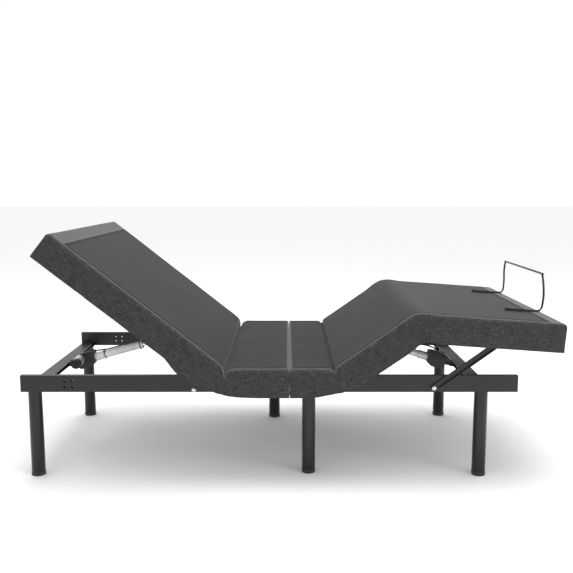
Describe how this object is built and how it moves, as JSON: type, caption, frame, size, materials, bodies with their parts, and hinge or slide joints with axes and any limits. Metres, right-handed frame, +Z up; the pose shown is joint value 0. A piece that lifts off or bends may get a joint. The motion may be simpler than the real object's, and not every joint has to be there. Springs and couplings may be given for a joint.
{
  "type": "adjustable bed base",
  "caption": "Motorised adjustable bed base with a folding steel frame, an upholstered deck in hinged sections, two linear actuators, lift frames, foot links and a mattress retainer bar.",
  "frame": {"origin": "on the floor, under the middle of the object's length and width as it stands with the head and thigh sections raised", "axes": "+X from the head end to the foot end, +Y to the side with the middle leg of the head half, +Z up"},
  "size_m": [1.9382, 0.965, 0.9014],
  "materials": {
    "black_steel": "satin black powder coat",
    "zinc": "zinc plated",
    "silver_aluminium": "light silver, smooth",
    "black_plastic": "moulded, matt",
    "board": "plain pressed board, hidden by the upholstery",
    "upholstery": "charcoal linen weave on the sides, smooth dark fabric on top",
    "polished_steel": "bright"
  },
  "bodies": {
    "head_frame": {"head_rail_left": "black_steel", "head_rail_right": "black_steel", "head_rail_cap_left": "black_plastic", "head_rail_cap_right": "black_plastic", "head_leg_left": "black_steel", "head_leg_right": "black_steel", "head_middle_leg": "black_steel", "head_crossbar": "black_steel", "head_middle_crossbar": "black_steel", "lift_pivot_bolt_left": "zinc", "lift_pivot_bolt_right": "zinc", "head_seat_board": "board", "head_seat_cover": "upholstery", "head_hinge_fixed_leaf": "zinc", "control_box": "black_plastic", "extension_lead": "black_plastic", "head_motor_lead": "black_plastic"},
    "foot_frame": {"foot_rail_left": "black_steel", "foot_rail_right": "black_steel", "foot_rail_cap_left": "black_plastic", "foot_rail_cap_right": "black_plastic", "foot_leg_left": "black_steel", "foot_leg_right": "black_steel", "foot_middle_leg": "black_steel", "foot_crossbar": "black_steel", "foot_middle_crossbar": "black_steel", "link_pivot_bolt_left": "zinc", "link_pivot_bolt_right": "zinc", "foot_seat_board": "board", "foot_seat_cover": "upholstery", "thigh_hinge_fixed_leaf": "zinc", "foot_motor_lead": "black_plastic"},
    "head_deck": {"head_board": "board", "head_cover": "upholstery", "head_hinge_moving_leaf": "zinc"},
    "thigh_deck": {"thigh_board": "board", "thigh_cover": "upholstery", "thigh_hinge_moving_leaf": "zinc", "knee_hinge_fixed_leaf": "zinc"},
    "foot_deck": {"foot_board": "board", "foot_cover": "upholstery", "knee_hinge_moving_leaf": "zinc", "retainer_bar": "black_steel", "retainer_clamp_left": "zinc", "retainer_clamp_right": "zinc", "link_bracket_left": "black_steel", "link_bracket_right": "black_steel"},
    "head_lift": {"head_lift_frame": "black_steel"},
    "thigh_lift": {"thigh_lift_frame": "black_steel"},
    "head_actuator": {"head_actuator_motor": "silver_aluminium", "head_actuator_gearbox": "black_plastic", "head_actuator_tube": "silver_aluminium"},
    "head_rod": {"head_actuator_rod": "polished_steel"},
    "foot_actuator": {"foot_actuator_motor": "silver_aluminium", "foot_actuator_gearbox": "black_plastic", "foot_actuator_tube": "silver_aluminium"},
    "foot_rod": {"foot_actuator_rod": "polished_steel"},
    "foot_links": {"foot_link_left": "black_steel", "foot_link_right": "black_steel"}
  },
  "joints": [
    {"name": "frame_fold", "type": "hinge", "parent": "head_frame", "child": "foot_frame", "pos_m": [0.00565, 0, 0.3205], "axis": [0, 1, 0], "range_deg": [0, 90]},
    {"name": "head_lift_hinge", "type": "hinge", "parent": "head_frame", "child": "head_deck", "pos_m": [-0.22965, 0, 0.3895], "axis": [0, 1, 0], "range_deg": [-38.3, 17.7]},
    {"name": "head_lift_frame_swing", "type": "hinge", "parent": "head_frame", "child": "head_lift", "pos_m": [-0.34055, 0, 0.336], "axis": [0, 1, 0], "range_deg": [-49.1, 22.7]},
    {"name": "head_actuator_swivel", "type": "hinge", "parent": "head_frame", "child": "head_actuator", "pos_m": [-0.89435, 0, 0.336], "axis": [0, -1, 0], "range_deg": [-7.4, 3.45], "deforming": ["head_motor_lead"]},
    {"name": "head_rod_slide", "type": "slide", "parent": "head_actuator", "child": "head_rod", "axis": [0.9644, 0, 0.2645], "range_m": [-0.1137, 0.0528]},
    {"name": "thigh_lift_hinge", "type": "hinge", "parent": "foot_frame", "child": "thigh_deck", "pos_m": [0.17335, 0, 0.3895], "axis": [0, -1, 0], "range_deg": [-34.8, 7.2]},
    {"name": "knee_fold", "type": "hinge", "parent": "thigh_deck", "child": "foot_deck", "pos_m": [0.45722, 0, 0.5868], "axis": [0, 1, 0], "range_deg": [-38.81, 8.04]},
    {"name": "thigh_lift_frame_swing", "type": "hinge", "parent": "foot_frame", "child": "thigh_lift", "pos_m": [0.19565, 0, 0.338], "axis": [0, -1, 0], "range_deg": [-35.2, 7.3]},
    {"name": "foot_actuator_swivel", "type": "hinge", "parent": "foot_frame", "child": "foot_actuator", "pos_m": [0.67445, 0, 0.336], "axis": [0, 1, 0], "range_deg": [-11.5, 2.4], "deforming": ["foot_motor_lead"]},
    {"name": "foot_rod_slide", "type": "slide", "parent": "foot_actuator", "child": "foot_rod", "axis": [-0.9573, 0, 0.2892], "range_m": [-0.0623, 0.013]},
    {"name": "foot_links_swing", "type": "hinge", "parent": "foot_frame", "child": "foot_links", "pos_m": [0.52765, 0, 0.343], "axis": [0, -1, 0], "range_deg": [-32.8, 6.8]}
  ],
  "couplings": [
    {"joint": "head_lift_frame_swing", "follows": "head_lift_hinge", "ratio": 1.28},
    {"joint": "head_actuator_swivel", "follows": "head_lift_hinge", "ratio": 0.191},
    {"joint": "head_rod_slide", "follows": "head_lift_hinge", "m_per_rad": 0.16977},
    {"joint": "knee_fold", "follows": "thigh_lift_hinge", "ratio": 1.1149},
    {"joint": "thigh_lift_frame_swing", "follows": "thigh_lift_hinge", "ratio": 1.01},
    {"joint": "foot_actuator_swivel", "follows": "thigh_lift_hinge", "ratio": 0.329},
    {"joint": "foot_rod_slide", "follows": "thigh_lift_hinge", "m_per_rad": 0.10227},
    {"joint": "foot_links_swing", "follows": "thigh_lift_hinge", "ratio": 0.94}
  ]
}
